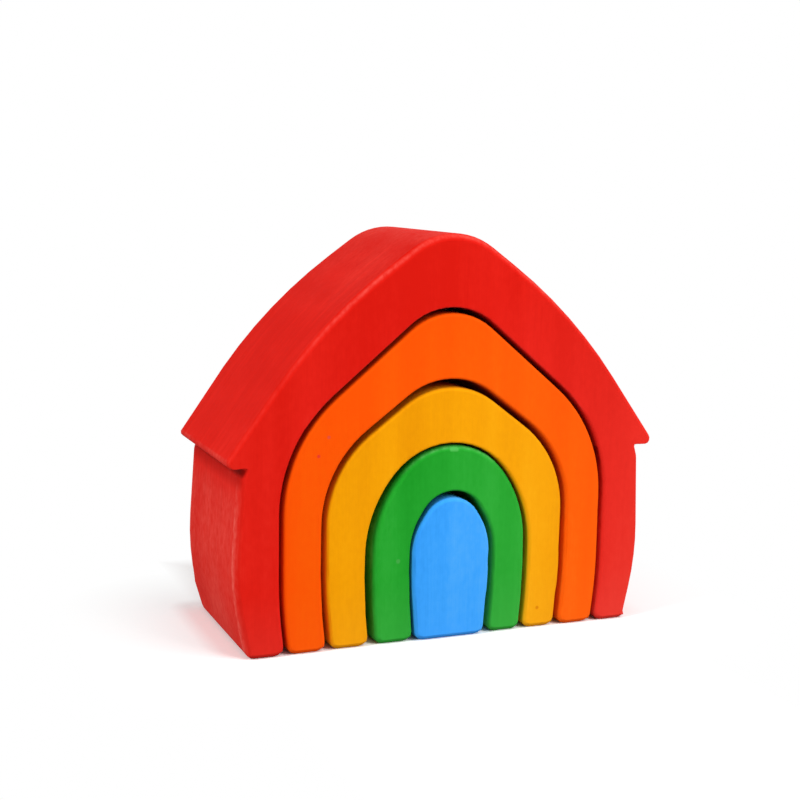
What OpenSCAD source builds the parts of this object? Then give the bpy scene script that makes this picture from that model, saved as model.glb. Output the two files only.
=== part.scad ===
// Wooden stacking house: five stained pieces sawn from one block, each standing inside the next.
// X runs across the front, Y from front to back, Z up. The pieces stand on Z = 0, all sizes in millimetres.
// Sizes build outward from the door: a clearance, the next piece, a clearance, up to the walls and roof.
// A half width is measured from the middle line of its own outline.

/* [Block] */
// Front to back length of the block that all five pieces are sawn from
depth = 73; // [40:1:110]
// Radius sanded on every front and back edge
edge_round = 2; // [0.8:0.1:2.8]
// Radius of the corners at the bottom of each leg
foot_round = 3.4; // [1:0.1:4.4]

/* [Blue door] */
// Half width of the door at the floor
door_foot = 14.2; // [11:0.1:20]
// Half width of the door between its walls
door_wall = 16.1; // [13:0.1:22]
// Height at which the walls of the door stop leaning out
door_belly = 22; // [10:1:30]
// Height of the top of the door
door_crown = 55.6; // [46:0.1:80]
// Slope of the door beside its top, in degrees
door_slope = 58; // [48:1:62]
// Radius over the top of the door
door_crown_round = 12.6; // [8:0.2:15]
// Radius of the shoulders of the door
door_shoulder_round = 26; // [8:1:34]
// How much shorter the door is than the house from front to back, after sanding
door_short = 0; // [0:0.1:6]

/* [Green arch] */
// Clearance between the door and the green arch at the floor
door_foot_gap = 1.7; // [0.4:0.1:4]
// Clearance beside the walls of the door
door_wall_gap = 1.2; // [0.4:0.1:4]
// Clearance over the door
door_crown_gap = 2.6; // [0.4:0.1:4]
// How far right of the middle of the green arch its opening was sawn
door_drift = 0.7; // [-3:0.1:3]
// How far left of the middle of that opening the door stands, as a share of the clearance
door_set = 0.5; // [-0.6:0.1:0.6]
// Width of each leg of the green arch at the floor
green_foot = 14.8; // [10:0.1:24]
// Width of each leg of the green arch higher up
green_leg = 14.7; // [10:0.1:24]
// Thickness of the green arch over its opening
green_top = 17.8; // [12:0.1:28]
// Height at which its outer walls stop leaning out
green_belly = 20; // [10:1:30]
// Slope of its outside beside the top, in degrees
green_slope = 51; // [40:1:56]
// Radius over its top
green_crown_round = 27.5; // [12:0.5:32]
// Radius of its shoulders
green_shoulder_round = 46.5; // [12:0.5:52]
// How much shorter it is than the house from front to back, after sanding
green_short = 2; // [0:0.1:6]

/* [Yellow arch] */
// Clearance between the green and the yellow arch at the floor
green_foot_gap = 2; // [0.4:0.1:4]
// Clearance beside the walls of the green arch
green_wall_gap = 2.3; // [0.4:0.1:4]
// Clearance over the green arch
green_crown_gap = 1; // [0.4:0.1:4]
// How far right of the middle of the yellow arch its opening was sawn
green_drift = 0.8; // [-3:0.1:3]
// How far left of the middle of that opening the green arch stands, as a share of the clearance
green_set = -0.3; // [-0.6:0.1:0.6]
// Width of each leg of the yellow arch at the floor
yellow_foot = 14.4; // [10:0.1:24]
// Width of each leg of the yellow arch higher up
yellow_leg = 15; // [10:0.1:24]
// Thickness of the yellow arch over its opening
yellow_top = 21.5; // [14:0.1:32]
// Height at which its outer walls stop leaning out
yellow_belly = 22; // [10:1:36]
// Slope of its outside beside the top, in degrees
yellow_slope = 37; // [30:1:44]
// Radius over its top
yellow_crown_round = 30.7; // [12:0.1:38]
// Radius of its shoulders
yellow_shoulder_round = 42.7; // [12:0.1:52]
// How much shorter it is than the house from front to back, after sanding
yellow_short = 1.6; // [0:0.1:6]

/* [Orange arch] */
// Clearance between the yellow and the orange arch at the floor
yellow_foot_gap = 2.1; // [0.4:0.1:4]
// Clearance beside the walls of the yellow arch
yellow_wall_gap = 1.9; // [0.4:0.1:4]
// Clearance over the yellow arch
yellow_crown_gap = 3.3; // [0.4:0.1:4]
// How much less than an even clearance gives the radius over the top of that opening is
yellow_pinch = 4; // [0:0.5:8]
// Width of each leg of the orange arch at the floor
orange_foot = 14.7; // [10:0.1:24]
// Width of each leg of the orange arch higher up
orange_leg = 14.9; // [10:0.1:24]
// Thickness of the orange arch over its opening
orange_top = 25; // [16:0.1:36]
// Height at which its outer walls stop leaning out
orange_belly = 18; // [10:1:40]
// Slope of its outside beside the top, in degrees
orange_slope = 40; // [32:1:46]
// Radius over its top
orange_crown_round = 26.3; // [12:0.1:38]
// Radius of its shoulders
orange_shoulder_round = 55.8; // [16:0.1:66]
// How much shorter it is than the house from front to back, after sanding
orange_short = 0.6; // [0:0.1:6]

/* [Red house] */
// Clearance between the orange arch and the house at the floor
orange_foot_gap = 1.6; // [0.4:0.1:4]
// Clearance beside the walls of the orange arch
orange_wall_gap = 1.6; // [0.4:0.1:4]
// Clearance over the orange arch
orange_crown_gap = 2.2; // [0.4:0.1:4]
// How much less than an even clearance gives the radius over the top of that opening is
orange_pinch = 1.5; // [0:0.5:8]
// How far right of the ridge the middle between the legs of the house is
leg_drift = -0.6; // [-3:0.1:3]
// Width of each leg of the house at the floor
house_foot = 14.3; // [10:0.1:24]
// Width of each leg of the house at the fullest part of its walls
house_leg = 17.7; // [14:0.1:28]
// Height of the fullest part of the walls
house_belly = 26; // [16:1:40]
// Radius of the bulge in the walls
house_belly_round = 105; // [40:5:160]
// Width of each leg of the house where its walls begin to draw in under the eaves
house_neck = 15.5; // [10:0.1:24]
// How far below the eaves the walls begin to draw in
neck_drop = 4.6; // [2:0.2:10]
// Radius where the walls begin to draw in
neck_round = 8; // [2:0.5:12]
// How far the walls draw in at the notch under the eaves
notch_in = 1.3; // [0.5:0.1:3]
// Height of the underside of the eaves
eave_height = 72; // [56:0.2:86]
// Overhang of the eaves past the walls, before their tips are rounded
eave_out = 7.3; // [3:0.1:14]
// Radius at the tips of the eaves
eave_round = 2.4; // [0.4:0.1:3]
// Radius in the corner under the eaves
notch_round = 0.6; // [0.4:0.1:2]
// Thickness of the house from the top of its opening to the ridge
house_top = 27.6; // [18:0.2:60]
// Slope of the roof beside the ridge, in degrees
ridge_slope = 36; // [28:1:42]
// Radius across the ridge
ridge_round = 28; // [10:1:40]
// How far inside the wall of the opening the roof turns to its steeper lower slope
knee_inset = 16; // [2:0.2:24]
// Radius of that turn
knee_round = 200; // [40:10:240]

/* [Hidden] */

// Radius of the slight bulge low on the walls of every arch and opening
belly_round = 180;
// Share of the sanded radius that the thin underside of the eaves gets
eave_share = 0.35;
// Smallest radius left on a corner where sanding eats into it
least_round = 0.25;
// Shortest straight left between two rounded corners
least_flat = 0.2;
// Number of flats in each kind of corner and in a sanded edge
foot_flats = 3;
belly_flats = 4;
shoulder_flats = 12;
crown_flats = 12;
notch_flats = 2;
tip_flats = 4;
knee_flats = 6;
sand_flats = 3;

// An arch outline is a list: half width at the floor and between its walls, height of the bulge and of
// the top, slope, radius over the top and at the shoulders, and how far right of the ridge its middle is.

// The opening around an arch, with a tighter radius over the top, and with the arch left of its middle by a
// share of the clearance at its walls
function opening(a, foot_gap, wall_gap, crown_gap, pinch = 0, set = 0) = [
    a[0] + foot_gap, a[1] + wall_gap, a[2], a[3] + crown_gap, a[4],
    a[5] + wall_gap - pinch, a[6] + wall_gap, a[7] + set * wall_gap];

// Where the middle lines of the green arch and the door are
green_middle = leg_drift + green_drift - green_set * green_wall_gap;
door_middle = green_middle + door_drift - door_set * door_wall_gap;

blue_out = [door_foot, door_wall, door_belly, door_crown, door_slope,
    door_crown_round, door_shoulder_round, door_middle];
green_in = opening(blue_out, door_foot_gap, door_wall_gap, door_crown_gap, 0, door_set);
green_out = [green_in[0] + green_foot, green_in[1] + green_leg, green_belly, green_in[3] + green_top,
    green_slope, green_crown_round, green_shoulder_round, green_middle];
yellow_in = opening(green_out, green_foot_gap, green_wall_gap, green_crown_gap, 0, green_set);
yellow_out = [yellow_in[0] + yellow_foot, yellow_in[1] + yellow_leg, yellow_belly, yellow_in[3] + yellow_top,
    yellow_slope, yellow_crown_round, yellow_shoulder_round, leg_drift];
orange_in = opening(yellow_out, yellow_foot_gap, yellow_wall_gap, yellow_crown_gap, yellow_pinch);
orange_out = [orange_in[0] + orange_foot, orange_in[1] + orange_leg, orange_belly, orange_in[3] + orange_top,
    orange_slope, orange_crown_round, orange_shoulder_round, leg_drift];
house_in = opening(orange_out, orange_foot_gap, orange_wall_gap, orange_crown_gap, orange_pinch);

// Where two slopes would meet above a rounded top
function meeting(top, slope, radius) = top + radius * (1 / cos(slope) - 1);

// A corner of an outline: place, radius, number of flats, share of the sanding on the edge that follows
function corner(x, z, radius, flats, share = 1) = [x, z, radius, flats, share];

// Corners of an arch from its right foot over the top to its left foot
function arch(a) = let (peak = meeting(a[3], a[4], a[5]), shoulder = peak - a[1] * tan(a[4])) [
    corner(a[7] + a[0], 0, foot_round, foot_flats),
    corner(a[7] + a[1], a[2], belly_round, belly_flats),
    corner(a[7] + a[1], shoulder, a[6], shoulder_flats),
    corner(a[7], peak, a[5], crown_flats),
    corner(a[7] - a[1], shoulder, a[6], shoulder_flats),
    corner(a[7] - a[1], a[2], belly_round, belly_flats),
    corner(a[7] - a[0], 0, foot_round, foot_flats)];

// Places on the outside of the house
neck = house_in[1] + house_neck;
knee = house_in[1] - knee_inset;
ridge_peak = meeting(house_in[3] + house_top, ridge_slope, ridge_round);
knee_height = ridge_peak - knee * tan(ridge_slope);

// Corners of the outside of the house in the same order
house_out = [
    corner(leg_drift + house_in[0] + house_foot, 0, foot_round, foot_flats),
    corner(leg_drift + house_in[1] + house_leg, house_belly, house_belly_round, belly_flats),
    corner(neck, eave_height - neck_drop, neck_round, notch_flats),
    corner(neck - notch_in, eave_height, notch_round, notch_flats, eave_share),
    corner(neck + eave_out, eave_height, eave_round, tip_flats),
    corner(knee, knee_height, knee_round, knee_flats),
    corner(0, ridge_peak, ridge_round, crown_flats),
    corner(-knee, knee_height, knee_round, knee_flats),
    corner(-neck - eave_out, eave_height, eave_round, tip_flats, eave_share),
    corner(notch_in - neck, eave_height, notch_round, notch_flats),
    corner(-neck, eave_height - neck_drop, neck_round, notch_flats),
    corner(leg_drift - house_in[1] - house_leg, house_belly, house_belly_round, belly_flats),
    corner(leg_drift - house_in[0] - house_foot, 0, foot_round, foot_flats)];

function backwards(list) = [for (i = [len(list) - 1:-1:0]) list[i]];
function place(c) = [c[0], c[1]];
function unit(v) = v / norm(v);
function around(list, i) = list[(i + len(list)) % len(list)];
function heading(c, i) = unit(place(around(c, i + 1)) - place(around(c, i)));
function inward(c, i) = let (h = heading(c, i)) [-h[1], h[0]];

// Length that the arc at a corner takes from each of its edges, for each millimetre of radius
function pull(c, i) = tan(acos(heading(c, i - 1) * heading(c, i)) / 2);

// Length that an edge leaves to the corner at one end of it, after the smaller arc at the other end
function spare(c, i, other) = let (length = norm(place(c[i]) - place(around(c, other))))
    length - least_flat - (around(c, other)[2] < c[i][2] ? around(c, other)[2] * pull(c, other) : 0);

// Corners whose radii are limited by the edges beside them, so that no two arcs meet
function fitted(c) = [for (i = [0:len(c) - 1]) let (
    room = min(spare(c, i, i - 1), spare(c, i, i + 1)))
    corner(c[i][0], c[i][1], min(c[i][2], room / pull(c, i)), c[i][3], c[i][4])];

// A corner after the edges on both sides of it have moved inward by their share of a distance
function moved(c, i, d) = let (
    n = inward(c, i - 1),
    m = inward(c, i),
    a = d * around(c, i - 1)[4],
    b = d * c[i][4],
    k = n * m,
    p = place(c[i]) + ((a - k * b) * n + (b - k * a) * m) / (1 - k * k),
    bulges = cross(heading(c, i - 1), heading(c, i)) > 0,
    radius = bulges ? max(c[i][2] - min(a, b), least_round) : c[i][2] + min(a, b))
    [p[0], p[1], radius, c[i][3], c[i][4]];

// Points round one corner, on an arc that touches both edges
function bend(c, i) = let (
    p = place(c[i]),
    u = unit(place(around(c, i - 1)) - p),
    v = unit(place(around(c, i + 1)) - p),
    half = acos(u * v) / 2,
    middle = p + unit(u + v) * c[i][2] / sin(half),
    start = p + u * c[i][2] / tan(half) - middle,
    sweep = (cross(u, v) < 0 ? 1 : -1) * (180 - 2 * half))
    [for (s = [0:c[i][3]]) let (t = sweep * s / c[i][3])
        middle + [start[0] * cos(t) - start[1] * sin(t), start[0] * sin(t) + start[1] * cos(t)]];

// Every point of an outline that has been moved inward
function outline(c, d) = let (m = [for (i = [0:len(c) - 1]) moved(c, i, d)])
    [for (i = [0:len(c) - 1]) each bend(m, i)];

// Place from front to back, and inward distance, of each ring of points of a slab
function rings(length) = let (front = [for (s = [0:sand_flats]) let (t = 90 * s / sand_flats)
        [edge_round * (1 - cos(t)) - length / 2, edge_round * (1 - sin(t))]])
    concat(front, [for (r = backwards(front)) [-r[0], r[1]]]);

// Whether a point is in or on a triangle that turns left
function covers(a, b, c, q) =
    cross(b - a, q - a) >= 0 && cross(c - b, q - b) >= 0 && cross(a - c, q - c) >= 0;

// Whether a corner of what is left of a face can be cut off as a triangle
function is_ear(p, rest, k) = let (a = p[around(rest, k - 1)], b = p[rest[k]], c = p[around(rest, k + 1)])
    cross(b - a, c - b) > 0 &&
    len([for (m = [2:1:len(rest) - 2]) if (covers(a, b, c, p[around(rest, k + m)])) m]) == 0;

// Triangles that fill a face, found by cutting off every other corner again and again
function filled(p, rest, k = 0, found = []) = let (n = len(rest)) n < 3 ? found :
    is_ear(p, rest, k) ? filled(p, [for (m = [1:n - 1]) around(rest, k + m)], n > 3 ? 1 : 0,
        concat(found, [[around(rest, k - 1), around(rest, k + 1), rest[k]]]))
    : filled(p, rest, (k + 1) % n, found);

// A slab with sanded edges, from its corners and its length from front to back
module slab(corners, length) {
    ring_list = rings(length);
    outlines = [for (r = ring_list) outline(corners, r[1])];
    count = len(outlines[0]);
    last = len(ring_list) - 1;
    points = [for (j = [0:last]) for (p = outlines[j]) [p[0], ring_list[j][0], p[1]]];
    sides = [for (j = [0:last - 1]) for (i = [0:count - 1]) let (n = (i + 1) % count)
        [j * count + i, j * count + n, (j + 1) * count + n, (j + 1) * count + i]];
    front = filled(outlines[0], [for (i = [0:count - 1]) i]);
    back = [for (f = front) [for (v = backwards(f)) last * count + v]];
    polyhedron(points, concat(front, sides, back));
}

// A piece of the house: its outside, what is cut out of it, and its length
module piece(out, in, length) {
    slab(fitted(concat(out, backwards(in))), length);
}

module red_house() {
    color("crimson") piece(house_out, arch(house_in), depth);
}

module orange_arch() {
    color("darkorange") piece(arch(orange_out), arch(orange_in), depth - orange_short);
}

module yellow_arch() {
    color("gold") piece(arch(yellow_out), arch(yellow_in), depth - yellow_short);
}

module green_arch() {
    color("seagreen") piece(arch(green_out), arch(green_in), depth - green_short);
}

module blue_door() {
    color("dodgerblue") piece(arch(blue_out), [], depth - door_short);
}

red_house();
orange_arch();
yellow_arch();
green_arch();
blue_door();
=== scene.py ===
"""Wooden stacking house: a red house, three arches and a door, sawn from one thick block, then
sanded and stained.

The script works in metres, and lengths given in millimetres are turned into metres with MM. The
patterns of the wood and the rules for its edges work in millimetres.
"""

import math
from collections import namedtuple

import bmesh
import bpy
from mathutils import Matrix, Vector


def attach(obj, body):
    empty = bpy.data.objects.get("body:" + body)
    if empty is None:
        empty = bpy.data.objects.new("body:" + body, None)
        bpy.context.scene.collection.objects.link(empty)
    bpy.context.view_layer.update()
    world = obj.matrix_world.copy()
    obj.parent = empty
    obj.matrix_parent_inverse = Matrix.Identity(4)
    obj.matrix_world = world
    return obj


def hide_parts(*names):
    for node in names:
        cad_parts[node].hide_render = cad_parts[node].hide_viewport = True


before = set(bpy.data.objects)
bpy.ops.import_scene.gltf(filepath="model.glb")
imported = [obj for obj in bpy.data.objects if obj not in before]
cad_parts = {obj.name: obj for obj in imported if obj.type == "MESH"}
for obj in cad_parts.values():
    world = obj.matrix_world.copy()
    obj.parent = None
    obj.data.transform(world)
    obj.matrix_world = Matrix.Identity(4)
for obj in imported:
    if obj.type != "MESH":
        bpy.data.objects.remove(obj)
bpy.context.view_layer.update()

MM = 0.001
scene = bpy.context.scene
scene.view_settings.view_transform = "Standard"


def linear(hex_colour):
    """A hex colour as the linear values that shaders take."""
    parts = [int(hex_colour[i:i + 2], 16) / 255 for i in (1, 3, 5)]
    return [p / 12.92 if p <= 0.04045 else ((p + 0.055) / 1.055) ** 2.4 for p in parts] + [1.0]


def add(tree, kind, inputs=None, **settings):
    """Adds a shader node, with its settings, and with values or links in its inputs."""
    node = tree.nodes.new("ShaderNode" + kind)
    for name, value in settings.items():
        setattr(node, name, value)
    for key, value in (inputs or {}).items():
        if isinstance(value, bpy.types.NodeSocket):
            tree.links.new(value, node.inputs[key])
        else:
            node.inputs[key].default_value = value
    return node


def smooth(low, high, value):
    """Eases from 0 at low to 1 at high."""
    t = min(max((value - low) / (high - low), 0.0), 1.0)
    return t * t * (3 - 2 * t)


# Camera
# It stands a little to the left of the house, and looks slightly down at it.
EYE = Vector((-221.7, -525.4, 177.0)) * MM
TURN_RIGHT, LOOK_DOWN, LEAN = 22.247, 8.851, 0.917
LENS, SENSOR = 64.41, 36

camera_data = bpy.data.cameras.new("camera")
camera_data.lens = LENS
camera_data.sensor_width = SENSOR
camera = bpy.data.objects.new("camera", camera_data)
camera.matrix_world = (
    Matrix.Translation(EYE)
    @ Matrix.Rotation(math.radians(-TURN_RIGHT), 4, "Z")
    @ Matrix.Rotation(math.radians(90 - LOOK_DOWN), 4, "X")
    @ Matrix.Rotation(math.radians(LEAN), 4, "Z")
)
scene.collection.objects.link(camera)
scene.camera = camera


# Stained wood
# Height of the house's eaves in mm
EAVES = 72
# Height in mm of the point that the sides of the openings face
MIDDLE = 40

# How often a pattern of the wood comes in a millimetre across the block, from front to back and
# upwards, how much finer detail it has, and how strong that is
Pattern = namedtuple("Pattern", "per_mm detail roughness")
# Upright fibres about 0.7 mm wide and 20 mm long
FIBRE = Pattern((1.4, 1.4, 0.05), 3.0, 0.6)
# Flecks about 2 mm wide where the stain soaked in unevenly
FLECK = Pattern((0.5, 0.5, 0.3), 4.0, 0.6)
# Bands of denser wood about 12 mm wide that run up the whole block
BAND = Pattern((0.08, 0.02, 0.004), 2.0, 0.4)
# Patches about 30 mm across that took the stain more or less
PATCH = Pattern((0.035, 0.035, 0.02), 2.0, 0.5)
# Strokes of the sander along the sawn sides, about 3 mm apart
STROKE = Pattern((0.025, 0.3, 0.025), 4.0, 0.7)

# What the colour is multiplied by on the sides in the gaps, for deeper stain on sawn wood and
# painted shade there, and for a painted shadow under the eaves
SAWN_STAIN_AND_GAP_SHADE = "#d8d4d0"
EAVE_SHADOW_PAINT = "#b4a0a0"


def stained_wood(name, stain, deep, pale, rubbed, sawn, specks=(), eaves=None, left=0.0):
    """Fine-grained limewood, sanded and wiped with a coloured stain.

    The stain is translucent, so the upright grain shows as faint streaks and flecks, the sander's
    strokes show along the sawn sides, the rubbed edges are paler, and the dry, matt surface has
    hardly any gloss.
    sawn is 1 for a piece whose outer sides, all lying in the gaps, are darkened as the sides of the
    openings are: partly deeper stain on the sawn wood, partly painted shade in the gaps.
    specks lists small marks on the front as (x, z, radius, colour), in mm.
    eaves is the height in mm of eaves under which a shadow is painted on the walls, which also
    carry no dust or sheen there.
    left is how much darker the colour is made down the left side, as painted shade.
    """
    material = bpy.data.materials.new(name)
    material.use_nodes = True
    tree = material.node_tree
    tree.nodes.clear()

    place = add(tree, "TexCoord").outputs["Object"]
    place = add(tree, "VectorMath", {0: place, 1: (1 / MM, 1 / MM, 1 / MM)},
                operation="MULTIPLY").outputs[0]
    where = add(tree, "SeparateXYZ", {0: place}).outputs
    normal = add(tree, "NewGeometry").outputs["Normal"]
    facing = add(tree, "SeparateXYZ", {0: normal}).outputs

    marks = []
    for pattern in (FIBRE, FLECK, BAND, PATCH, STROKE):
        stretched = add(tree, "VectorMath", {0: place, 1: pattern.per_mm},
                        operation="MULTIPLY").outputs[0]
        marks.append(add(tree, "TexNoise", {
            "Vector": stretched, "Scale": 1.0, "Detail": pattern.detail,
            "Roughness": pattern.roughness}).outputs[0])
    fibre, fleck, band, patch, stroke = marks

    # The strokes show on the sides, and here and there more than elsewhere
    side = add(tree, "Math", {0: facing["Y"]}, operation="ABSOLUTE").outputs[0]
    side = add(tree, "MapRange", {"Value": side, "From Min": 0.9, "From Max": 0.3}).outputs[0]
    stroke = add(tree, "MapRange", {"Value": stroke, "From Min": 0.35, "From Max": 0.75,
                                    "To Min": -0.3, "To Max": 0.7}).outputs[0]
    stroke = add(tree, "Math", {0: stroke, 1: side}, operation="MULTIPLY").outputs[0]
    here = add(tree, "MapRange", {"Value": patch, "From Min": 0.35, "From Max": 0.65,
                                  "To Min": 0.2}).outputs[0]
    stroke = add(tree, "Math", {0: stroke, 1: here}, operation="MULTIPLY").outputs[0]

    tone = add(tree, "Math", {0: fibre, 1: 0.3, 2: -0.3}, operation="MULTIPLY_ADD").outputs[0]
    for mark, weight in ((fleck, 0.4), (band, 0.9), (patch, 0.2), (stroke, 0.5)):
        tone = add(tree, "Math", {0: mark, 1: weight, 2: tone},
                   operation="MULTIPLY_ADD").outputs[0]
    # Painted shade: darker towards the top and, on some pieces, towards the left, where less light
    # falls
    high = add(tree, "MapRange", {"Value": where["Z"], "From Min": 40, "From Max": 130,
                                  "To Max": -0.32}).outputs[0]
    tone = add(tree, "Math", {0: tone, 1: high}, operation="ADD").outputs[0]
    painted_shade_left = add(tree, "MapRange", {"Value": where["X"], "From Min": -25, "From Max": -60,
                                    "To Max": -left}).outputs[0]
    tone = add(tree, "Math", {0: tone, 1: painted_shade_left}, operation="ADD").outputs[0]
    ramp = add(tree, "ValToRGB", {0: tone})
    ramp.color_ramp.elements[0].position = 0.25
    ramp.color_ramp.elements[0].color = linear(deep)
    ramp.color_ramp.elements[1].position = 0.95
    ramp.color_ramp.elements[1].color = linear(pale)
    ramp.color_ramp.elements.new(0.6).color = linear(stain)
    colour = ramp.outputs[0]

    # The sanded edges are worn in flecks
    edge = add(tree, "Attribute", attribute_name="sanded").outputs["Fac"]
    broken = add(tree, "MapRange", {"Value": fleck, "From Min": 0.35, "From Max": 0.65,
                                    "To Min": 0.2, "To Max": 0.8}).outputs[0]
    edge = add(tree, "Math", {0: edge, 1: broken}, operation="MULTIPLY").outputs[0]

    # The walls and the ridge are paler, partly dust and partly a painted sheen, but not the walls
    # just under the eaves, which stay darker as part of the painted shadow there
    wall = add(tree, "Math", {0: facing["X"]}, operation="ABSOLUTE").outputs[0]
    wall = add(tree, "MapRange", {"Value": wall, "From Min": 0.85, "From Max": 0.97}).outputs[0]
    if eaves:
        below = add(tree, "Math", {0: where["Z"], 1: eaves}, operation="LESS_THAN").outputs[0]
        under = add(tree, "Math", {0: wall, 1: below}, operation="MULTIPLY").outputs[0]
        eave_shadow_no_dust = add(tree, "MapRange", {"Value": where["Z"], "From Min": eaves - 16,
                                      "From Max": eaves - 6, "To Max": -1.0}).outputs[0]
        wall = add(tree, "Math", {0: eave_shadow_no_dust, 1: under, 2: wall},
                   operation="MULTIPLY_ADD").outputs[0]
    ridge = add(tree, "MapRange", {"Value": facing["Z"], "From Min": 0.7, "From Max": 0.95,
                                   "To Max": 0.8}).outputs[0]
    dust_and_sheen = add(tree, "Math", {0: wall, 1: ridge}, operation="MAXIMUM").outputs[0]
    dry = add(tree, "Math", {0: fleck, 1: patch}, operation="MULTIPLY").outputs[0]
    dry = add(tree, "MapRange", {"Value": dry, "From Min": 0.12, "From Max": 0.4,
                                 "To Max": 0.36}).outputs[0]
    edge = add(tree, "Math", {0: dry, 1: dust_and_sheen, 2: edge}, operation="MULTIPLY_ADD").outputs[0]

    # Painted light: the legs on the right and near the floor are paler, for light from the right
    # and light thrown up from the table
    painted_light_right = add(tree, "Math", {0: where["Z"], 1: -0.6, 2: where["X"]},
                operation="MULTIPLY_ADD").outputs[0]
    painted_light_right = add(tree, "MapRange", {"Value": painted_light_right, "From Min": -60, "From Max": 70,
                                   "To Max": 0.12}).outputs[0]
    low = add(tree, "MapRange", {"Value": where["Z"], "From Min": 25, "From Max": 0,
                                 "To Max": 0.1}).outputs[0]
    edge = add(tree, "Math", {0: edge, 1: painted_light_right}, operation="ADD").outputs[0]
    edge = add(tree, "Math", {0: edge, 1: low}, operation="ADD", use_clamp=True).outputs[0]
    # The paler colour covers worn edges and dust, and also the painted sheen and the painted light
    # from the right and from the table
    colour = add(tree, "Mix", {0: edge, 6: colour, 7: linear(rubbed)},
                 data_type="RGBA").outputs[2]

    # The sides of the openings, which face the middle of the house, and on pieces with sawn set all
    # their sides, are darker: partly deeper stain on the sawn wood, partly painted shade in the
    # gaps
    out = add(tree, "VectorMath", {0: place, 1: (0, 0, MIDDLE)}, operation="SUBTRACT").outputs[0]
    out = add(tree, "VectorMath", {0: out, 1: normal}, operation="DOT_PRODUCT").outputs["Value"]
    sawn_stain_and_gap_shade = add(tree, "Math", {0: out, 1: 0.0}, operation="LESS_THAN").outputs[0]
    sawn_stain_and_gap_shade = add(tree, "Math", {0: sawn_stain_and_gap_shade, 1: sawn}, operation="MAXIMUM").outputs[0]
    sawn_stain_and_gap_shade = add(tree, "Math", {0: sawn_stain_and_gap_shade, 1: side}, operation="MULTIPLY").outputs[0]
    # Painted shade: strongest high up, over the openings, and weak beside the legs
    overhead = add(tree, "MapRange", {"Value": where["Z"], "From Min": 40, "From Max": 80,
                                      "To Min": 0.1}).outputs[0]
    sawn_stain_and_gap_shade = add(tree, "Math", {0: sawn_stain_and_gap_shade, 1: overhead}, operation="MULTIPLY").outputs[0]
    colour = add(tree, "Mix", {0: sawn_stain_and_gap_shade, 6: colour, 7: linear(SAWN_STAIN_AND_GAP_SHADE)},
                 data_type="RGBA", blend_type="MULTIPLY").outputs[2]

    # Painted shadow: the walls just under the eaves are darkened
    if eaves:
        painted_eave_shadow = add(tree, "MapRange", {"Value": where["Z"], "From Min": eaves - 9,
                                          "From Max": eaves - 1}).outputs[0]
        painted_eave_shadow = add(tree, "Math", {0: painted_eave_shadow, 1: under}, operation="MULTIPLY").outputs[0]
        colour = add(tree, "Mix", {0: painted_eave_shadow, 6: colour, 7: linear(EAVE_SHADOW_PAINT)},
                     data_type="RGBA", blend_type="MULTIPLY").outputs[2]

    front = add(tree, "Math", {0: where["Y"], 1: 0.0}, operation="LESS_THAN").outputs[0]
    on_front = add(tree, "VectorMath", {0: place, 1: (1, 0, 1)}, operation="MULTIPLY").outputs[0]
    for x, z, radius, mark in specks:
        apart = add(tree, "VectorMath", {0: on_front, 1: (x, 0, z)},
                    operation="DISTANCE").outputs["Value"]
        inside = add(tree, "MapRange", {"Value": apart, "From Min": radius,
                                        "From Max": radius * 0.5}).outputs[0]
        inside = add(tree, "Math", {0: inside, 1: front}, operation="MULTIPLY").outputs[0]
        colour = add(tree, "Mix", {0: inside, 6: colour, 7: linear(mark)},
                     data_type="RGBA").outputs[2]

    rough = add(tree, "MapRange", {"Value": fibre, "From Min": 0.3, "From Max": 0.7,
                                   "To Min": 0.62, "To Max": 0.74}).outputs[0]
    height = add(tree, "Math", {0: stroke, 1: 0.8, 2: fibre},
                 operation="MULTIPLY_ADD").outputs[0]
    bump = add(tree, "Bump", {"Height": height, "Strength": 0.5, "Distance": 0.05 * MM}).outputs[0]
    wood = add(tree, "BsdfPrincipled", {
        "Base Color": colour, "Roughness": rough, "IOR": 1.48, "Specular IOR Level": 0.04,
        "Normal": bump})
    add(tree, "OutputMaterial", {"Surface": wood.outputs[0]})
    return material


RED = stained_wood("limewood_red_stain", "#e31f14", "#d8160a", "#ea2e22", "#f4665a", 0.0,
                   eaves=EAVES)
ORANGE = stained_wood("limewood_orange_stain", "#fe5d02", "#fd5400", "#ff6c12", "#ff7a22", 1.0,
                      [(-49.6, 82.0, 0.8, "#e85038"), (-53.5, 75.1, 0.8, "#ec3828")], left=0.3)
YELLOW = stained_wood("limewood_yellow_stain", "#f6a202", "#ec9600", "#fcae10", "#febc30", 1.0,
                      [(39.1, 8.1, 0.9, "#e48606")], left=0.12)
# The last three marks are one pale chip on the top edge
GREEN = stained_wood("limewood_green_stain", "#22a32b", "#189822", "#30ae38", "#6ed070", 1.0,
                     [(-21.0, 32.3, 1.1, "#46a948"), (0.5, 74.5, 1.1, "#4eba52"),
                      (1.5, 74.5, 1.2, "#4eba52"), (2.5, 74.4, 1.1, "#4eba52")])
BLUE = stained_wood("limewood_blue_stain", "#3aa3ff", "#2c94f2", "#52b0ff", "#58b2ff", 1.0)


# Sanded edges
# The solids' edges are rounded by SAND, in three flats, and each becomes FINER flats.
SAND = 2.0 * MM
FINER = 3
STEPS = 3 * FINER
# Share of an edge's curve on each side of its most worn place that is worn as well
WORN_WIDTH = 0.3

# How far a sanded edge goes in from the outline, as a share of SAND, how flat it is, how much
# deeper than wide, how worn, and how far over it, from the face to the side, it is worn most
Edge = namedtuple("Edge", "size flat reach worn crest", defaults=(0.0, 1.0, 0.0, 0.5))

# The edges that the pieces stand on were broken with a flat
FOOT = Edge(0.9, flat=0.8)
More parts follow.
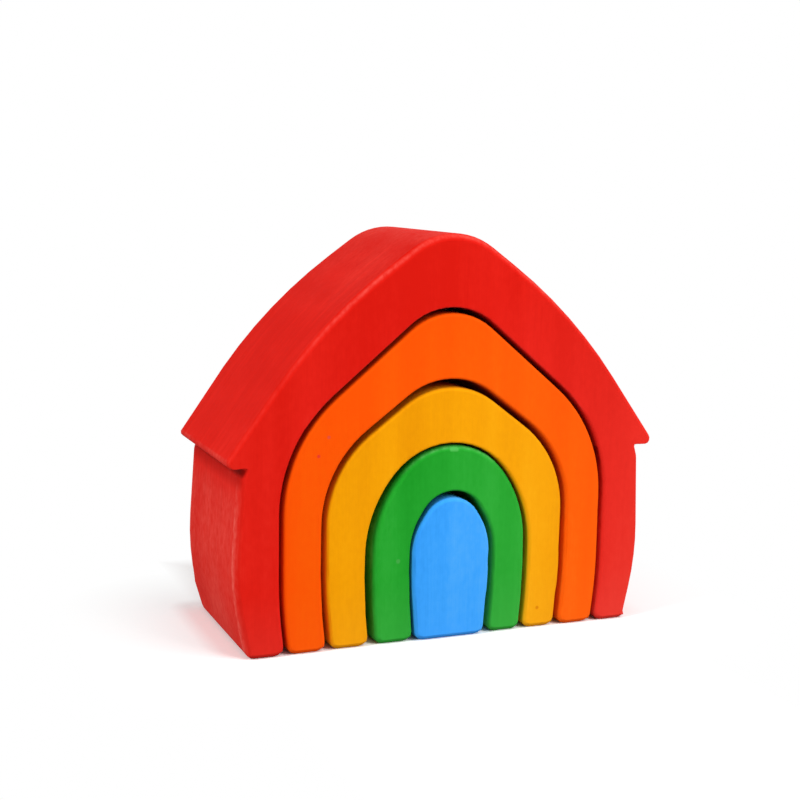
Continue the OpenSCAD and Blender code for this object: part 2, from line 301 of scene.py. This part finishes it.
# Heights in mm up to which an edge stands on the floor or belongs to a foot's corner
ON_FLOOR, FOOT_CORNER = 1, 12
# Height in mm of the lowest edge of the eaves, and how far out in mm their tips begin
EAVE_LOW, EAVE_TIP = 70, 84.5
# Heights in mm between which the lower roof's rear edge is sanded off more, the upper roof's edge
# gets wider, the ridge gets paler, and the walls get less pale
LOWER_ROOF, UPPER_ROOF = (95, 76), (95, 152)
RIDGE_WEAR, WALL_WEAR = (100, 140), (40, 60)
# Height in mm of the middle of the arches
ARCH_MIDDLE = 30


def opening_edge(outward_z):
    """An edge of an opening, a little crisper overhead than beside the legs."""
    return Edge(0.85 - 0.4 * abs(outward_z))


# Each rule for sanding takes a place on a piece's outline in mm, the direction its side faces
# there, and whether the edge is at the back.
def house_sanding(x, z, outward_x, outward_z, back):
    """The roof's edges were sanded rather flat, most at the ridge. The walls are rubbed where
    their sides begin. At the back, the eaves and the outer corners of the feet were sanded off
    more.
    """
    if z > EAVE_LOW and (abs(x) > EAVE_TIP or outward_z < -0.6):
        slope = smooth(-0.6, 0.5, outward_z)
        rear = back * slope
        return Edge(0.3 + 0.7 * slope, flat=0.2 * slope + 0.7 * rear, reach=1.0 + 1.4 * rear,
                    worn=0.3 - 0.2 * slope)
    if outward_z > 0.3:
        rear = back * smooth(*LOWER_ROOF, z)
        return Edge(1.0 + 0.4 * smooth(*UPPER_ROOF, z), flat=0.2 + 0.7 * rear,
                    reach=1.0 + 1.4 * rear, worn=0.1 + 0.6 * smooth(*RIDGE_WEAR, z))
    outside = outward_x * x > 0
    if back and z < FOOT_CORNER and outside:
        return Edge(1.1, flat=0.9, reach=1.4 + 2.2 * smooth(FOOT_CORNER, 0, z))
    if outside and abs(outward_z) < 0.4:
        return Edge(1.0, flat=0.1, reach=3.0, worn=1.0 - 0.8 * smooth(*WALL_WEAR, z), crest=0.87)
    return FOOT if z < ON_FLOOR else opening_edge(outward_z)


def arch_sanding(x, z, outward_x, outward_z, back):
    """The arches and the door have evenly rounded edges, a little more so underfoot."""
    if z < ON_FLOOR:
        return FOOT
    outside = outward_x * x + outward_z * (z - ARCH_MIDDLE) > 0
    return Edge(0.75) if outside else opening_edge(outward_z)


def green_sanding(x, z, outward_x, outward_z, back):
    """The green arch is rubbed pale over its top, and rounder down its left."""
    if z < ON_FLOOR or outward_x * x + outward_z * (z - ARCH_MIDDLE) < 0:
        return arch_sanding(x, z, outward_x, outward_z, back)
    return Edge(1.0 + 0.3 * smooth(-0.5, -0.9, outward_x), flat=0.2,
                worn=0.8 * smooth(0.6, 0.9, outward_z))


# Pieces
# Points of a solid's mesh that are closer than this are one point.
SAME_POINT = 0.002 * MM
# Faces of it that turn less than this are one face.
FLAT_ANGLE = math.radians(0.2)
# A point less deep than this is on the front or back face.
ON_FACE = 0.01 * MM
# The next point in a row over an edge is deeper by more than this.
NEXT_IN_ROW = 0.005 * MM
# The ends of a line over an edge differ in depth by more than SLANTED, and aren't past EDGE_DEPTH.
SLANTED = 0.05 * MM
EDGE_DEPTH = SAND * 1.01


def wooden_piece(name, node, body, material, sanding):
    """A piece with its solid's shape, and with its edges rounded more finely, and more or less
    from place to place.
    """
    bm = bmesh.new()
    bm.from_mesh(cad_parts[node].data)
    bmesh.ops.remove_doubles(bm, verts=bm.verts, dist=SAME_POINT)
    bmesh.ops.dissolve_limit(bm, angle_limit=FLAT_ANGLE, verts=bm.verts, edges=bm.edges)
    half = max(v.co.y for v in bm.verts)

    def depth(v):
        return half - abs(v.co.y)

    def length(e):
        return e.calc_length()

    def over_edge(e):
        first, second = (depth(v) for v in e.verts)
        return max(first, second) < EDGE_DEPTH and abs(first - second) > SLANTED

    # The two triangles of each flat become one face again, and each flat becomes FINER flats
    diagonals = [e for e in bm.edges if over_edge(e) and all(
        len(f.verts) == 3 and max(f.edges, key=length) == e for f in e.link_faces)]
    bmesh.ops.dissolve_edges(bm, edges=diagonals, use_verts=False)
    across = [e for e in bm.edges if over_edge(e)]
    bmesh.ops.subdivide_edges(bm, edges=across, cuts=FINER - 1, use_grid_fill=True)

    # Each row of points over an edge, from the face to the side, is set out again
    sanded = bm.verts.layers.float.new("sanded")
    rows = []
    for first in [v for v in bm.verts if depth(v) < ON_FACE]:
        row = [first]
        while len(row) <= STEPS:
            last = row[-1]
            beside = [e.other_vert(last) for e in last.link_edges]
            deeper = [v for v in beside if depth(v) > depth(last) + NEXT_IN_ROW]
            row.append(min(deeper, key=lambda v: (v.co - last.co).length))
        rows.append(row)
    for row in rows:
        side = math.copysign(1, row[0].co.y)
        outer = row[-1].co.copy()
        inset = Vector((outer.x - row[0].co.x, 0, outer.z - row[0].co.z))
        outward = inset.normalized()
        edge = sanding(outer.x / MM, outer.z / MM, outward.x, outward.z, side > 0)
        for step, v in enumerate(row):
            share = step / STEPS
            angle = share * math.pi / 2
            inward = (1 - math.sin(angle)) * (1 - edge.flat) + (1 - share) * edge.flat
            down = (1 - math.cos(angle)) * (1 - edge.flat) + share * edge.flat
            v.co = outer - inset * edge.size * inward
            v.co.y = side * (half - edge.size * edge.reach * SAND * down)
            near_crest = max(0.0, 1 - abs(share - edge.crest) / WORN_WIDTH)
            v[sanded] = edge.worn * near_crest if step < STEPS else 0.0
    for face in bm.faces:
        face.smooth = True
    mesh = bpy.data.meshes.new(name)
    bm.to_mesh(mesh)
    bm.free()
    piece = bpy.data.objects.new(name, mesh)
    scene.collection.objects.link(piece)
    mesh.materials.append(material)
    shading = piece.modifiers.new("flat_faces", "WEIGHTED_NORMAL")
    shading.keep_sharp = True
    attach(piece, body)
    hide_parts(node)


wooden_piece("house_red", "red_house", "house", RED, house_sanding)
wooden_piece("arch_orange", "orange_arch", "orange", ORANGE, arch_sanding)
wooden_piece("arch_yellow", "yellow_arch", "yellow", YELLOW, arch_sanding)
wooden_piece("arch_green", "green_arch", "green", GREEN, green_sanding)
wooden_piece("door_blue", "blue_door", "blue", BLUE, arch_sanding)


# Table
# Half the width and depth that the feet take up, and room over it so that height doesn't count
FOOTPRINT = (0.083, 0.0365, 1.0)
TABLE_HALF_WIDTH = 6.0
# How far the table lies under the feet
TABLE_DROP = 0.05 * MM
# The table's shade in the light that it throws back, and as the camera sees it
TABLE_BOUNCE = "#b8b8b8"
TABLE_SEEN = (1.15, 1.15, 1.15, 1)
WHITE = (1, 1, 1, 1)


def white_table():
    """A matt white table top that goes over into the white background away from the house."""
    material = bpy.data.materials.new("matt_white_table")
    material.use_nodes = True
    tree = material.node_tree
    tree.nodes.clear()
    place = add(tree, "TexCoord").outputs["Object"]
    away = add(tree, "VectorMath", {0: place}, operation="ABSOLUTE").outputs[0]
    away = add(tree, "VectorMath", {0: away, 1: FOOTPRINT}, operation="SUBTRACT").outputs[0]
    away = add(tree, "VectorMath", {0: away, 1: (0, 0, 0)}, operation="MAXIMUM").outputs[0]
    away = add(tree, "VectorMath", {0: away}, operation="LENGTH").outputs["Value"]
    near = add(tree, "MapRange", {"Value": away, "From Min": 3 * MM, "From Max": 10 * MM,
                                  "To Max": 0.5}).outputs[0]
    far = add(tree, "MapRange", {"Value": away, "From Min": 10 * MM, "From Max": 55 * MM,
                                 "To Max": 0.5}).outputs[0]
    far = add(tree, "Math", {0: near, 1: far}, operation="ADD").outputs[0]
    # Where the pieces are pulled out, in front and just behind, the table shows its own shading
    where = add(tree, "SeparateXYZ", {0: place}).outputs
    beside = add(tree, "Math", {0: where["X"]}, operation="ABSOLUTE").outputs[0]
    beside = add(tree, "MapRange", {"Value": beside, "From Min": 68 * MM,
                                    "From Max": 82 * MM}).outputs[0]
    behind = add(tree, "MapRange", {"Value": where["Y"], "From Min": 95 * MM,
                                    "From Max": 110 * MM}).outputs[0]
    beside = add(tree, "Math", {0: beside, 1: behind}, operation="MAXIMUM").outputs[0]
    far = add(tree, "Math", {0: far, 1: beside}, operation="MULTIPLY").outputs[0]
    seen = add(tree, "LightPath").outputs["Is Camera Ray"]
    white = add(tree, "Math", {0: far, 1: seen}, operation="MULTIPLY").outputs[0]
    shade = add(tree, "Mix", {0: seen, 6: linear(TABLE_BOUNCE), 7: TABLE_SEEN},
                data_type="RGBA").outputs[2]
    matt = add(tree, "BsdfDiffuse", {"Color": shade})
    glow = add(tree, "Emission", {"Color": WHITE, "Strength": 1.0})
    mixed = add(tree, "MixShader", {0: white, 1: matt.outputs[0], 2: glow.outputs[0]})
    add(tree, "OutputMaterial", {"Surface": mixed.outputs[0]})
    return material


bm = bmesh.new()
bmesh.ops.create_grid(bm, x_segments=8, y_segments=8, size=TABLE_HALF_WIDTH)
bmesh.ops.translate(bm, verts=bm.verts, vec=(0, 0, -TABLE_DROP))
table_mesh = bpy.data.meshes.new("table")
bm.to_mesh(table_mesh)
bm.free()
table_mesh.materials.append(white_table())
table = bpy.data.objects.new("table", table_mesh)
scene.collection.objects.link(table)


# Light
# The white room gives this much light, and is plain white where it is seen or mirrored
ROOM_LIGHT = 0.3

world = bpy.data.worlds.new("white_room")
scene.world = world
world.use_nodes = True
tree = world.node_tree
tree.nodes.clear()
path = add(tree, "LightPath").outputs
seen = add(tree, "Math", {0: path["Is Camera Ray"], 1: path["Is Glossy Ray"]},
           operation="MAXIMUM").outputs[0]
strength = add(tree, "MapRange", {"Value": seen, "To Min": ROOM_LIGHT}).outputs[0]
sky = add(tree, "Background", {"Color": WHITE, "Strength": strength})
add(tree, "OutputWorld", {"Surface": sky.outputs[0]})


def softbox(name, place, target_height, size, watts):
    """A square soft light that points at a height over the middle of the house."""
    data = bpy.data.lights.new(name, "AREA")
    data.size = size
    data.energy = watts
    light = bpy.data.objects.new(name, data)
    light.location = place
    aim = Vector((0, 0, target_height)) - Vector(place)
    light.rotation_euler = aim.to_track_quat("-Z", "Y").to_euler()
    scene.collection.objects.link(light)


softbox("right_softbox", (0.45, -0.6, 0.5), target_height=0.06, size=0.5, watts=5.15)
softbox("left_softbox", (-0.87, -0.25, 0.66), target_height=0.06, size=0.3, watts=6.2)
softbox("top_softbox", (0.3, -0.3, 1.1), target_height=0.05, size=0.6, watts=2.6)
